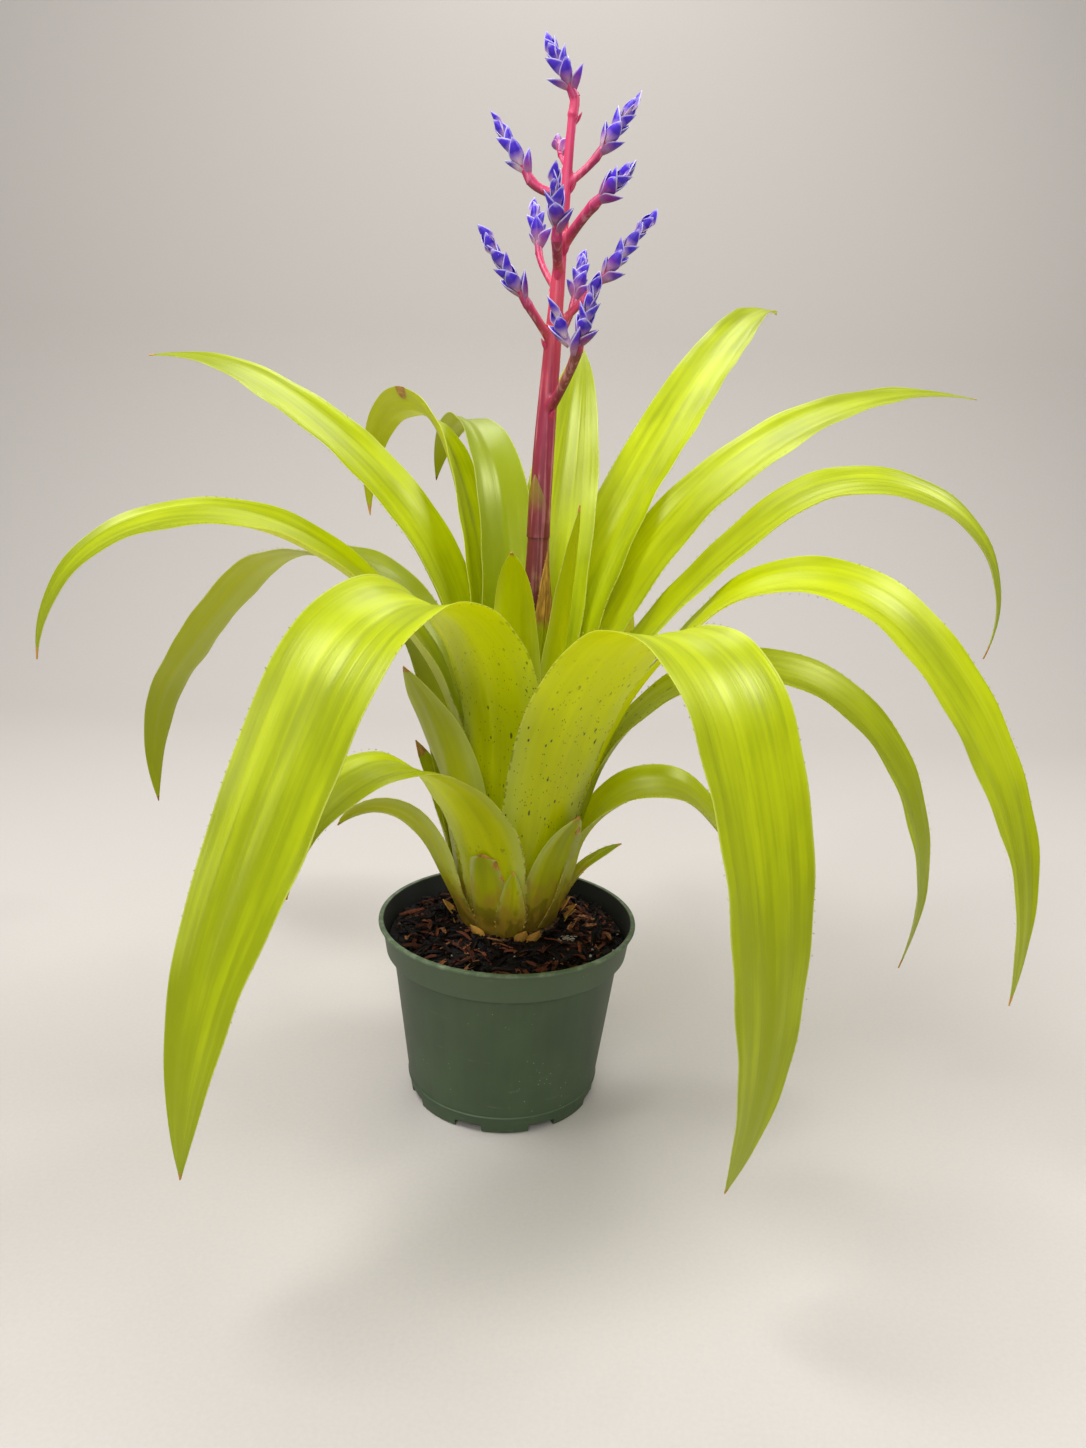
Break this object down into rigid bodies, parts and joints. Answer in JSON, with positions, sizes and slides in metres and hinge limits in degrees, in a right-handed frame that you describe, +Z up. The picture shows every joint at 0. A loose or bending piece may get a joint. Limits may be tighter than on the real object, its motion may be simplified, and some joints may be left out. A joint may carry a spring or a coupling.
{
  "type": "potted bromeliad",
  "caption": "Bromeliad with arching chartreuse strap leaves and a branched crimson spike of blue-violet bracts, in a round green plastic nursery pot of bark mix.",
  "frame": {"origin": "centre of the pot's underside, on the surface it stands on", "axes": "+Z up the flower spike, +X to the right and -Y towards the viewer of the pictured side"},
  "size_m": [0.6358, 0.5856, 0.6231],
  "materials": {
    "pot_plastic": "satin",
    "bark": "matte",
    "crown_tissue": "matte",
    "leaf_blade": "satin",
    "flower_stalk": "satin",
    "flower_bract": "satin"
  },
  "bodies": {
    "root": {"pot": "pot_plastic", "bark_mix": "bark", "crown": "crown_tissue", "leaf_01": "leaf_blade", "leaf_02": "leaf_blade", "leaf_03": "leaf_blade", "leaf_04": "leaf_blade", "leaf_05": "leaf_blade", "leaf_06": "leaf_blade", "leaf_07": "leaf_blade", "leaf_08": "leaf_blade", "leaf_09": "leaf_blade", "leaf_10": "leaf_blade", "leaf_11": "leaf_blade", "leaf_12": "leaf_blade", "leaf_13": "leaf_blade", "leaf_14": "leaf_blade", "leaf_15": "leaf_blade", "leaf_16": "leaf_blade", "leaf_17": "leaf_blade", "leaf_18": "leaf_blade", "leaf_19": "leaf_blade", "leaf_20": "leaf_blade", "leaf_21": "leaf_blade", "leaf_22": "leaf_blade", "leaf_23": "leaf_blade", "leaf_24": "leaf_blade", "foot_bract_1": "leaf_blade", "foot_bract_2": "leaf_blade", "foot_bract_3": "leaf_blade", "flower_stem": "flower_stalk", "spikelet_01": "flower_bract", "spikelet_02": "flower_bract", "spikelet_03": "flower_bract", "spikelet_04": "flower_bract", "spikelet_05": "flower_bract", "spikelet_06": "flower_bract", "spikelet_07": "flower_bract", "spikelet_08": "flower_bract", "spikelet_09": "flower_bract", "spikelet_10": "flower_bract", "spikelet_11": "flower_bract"}
  },
  "joints": []
}
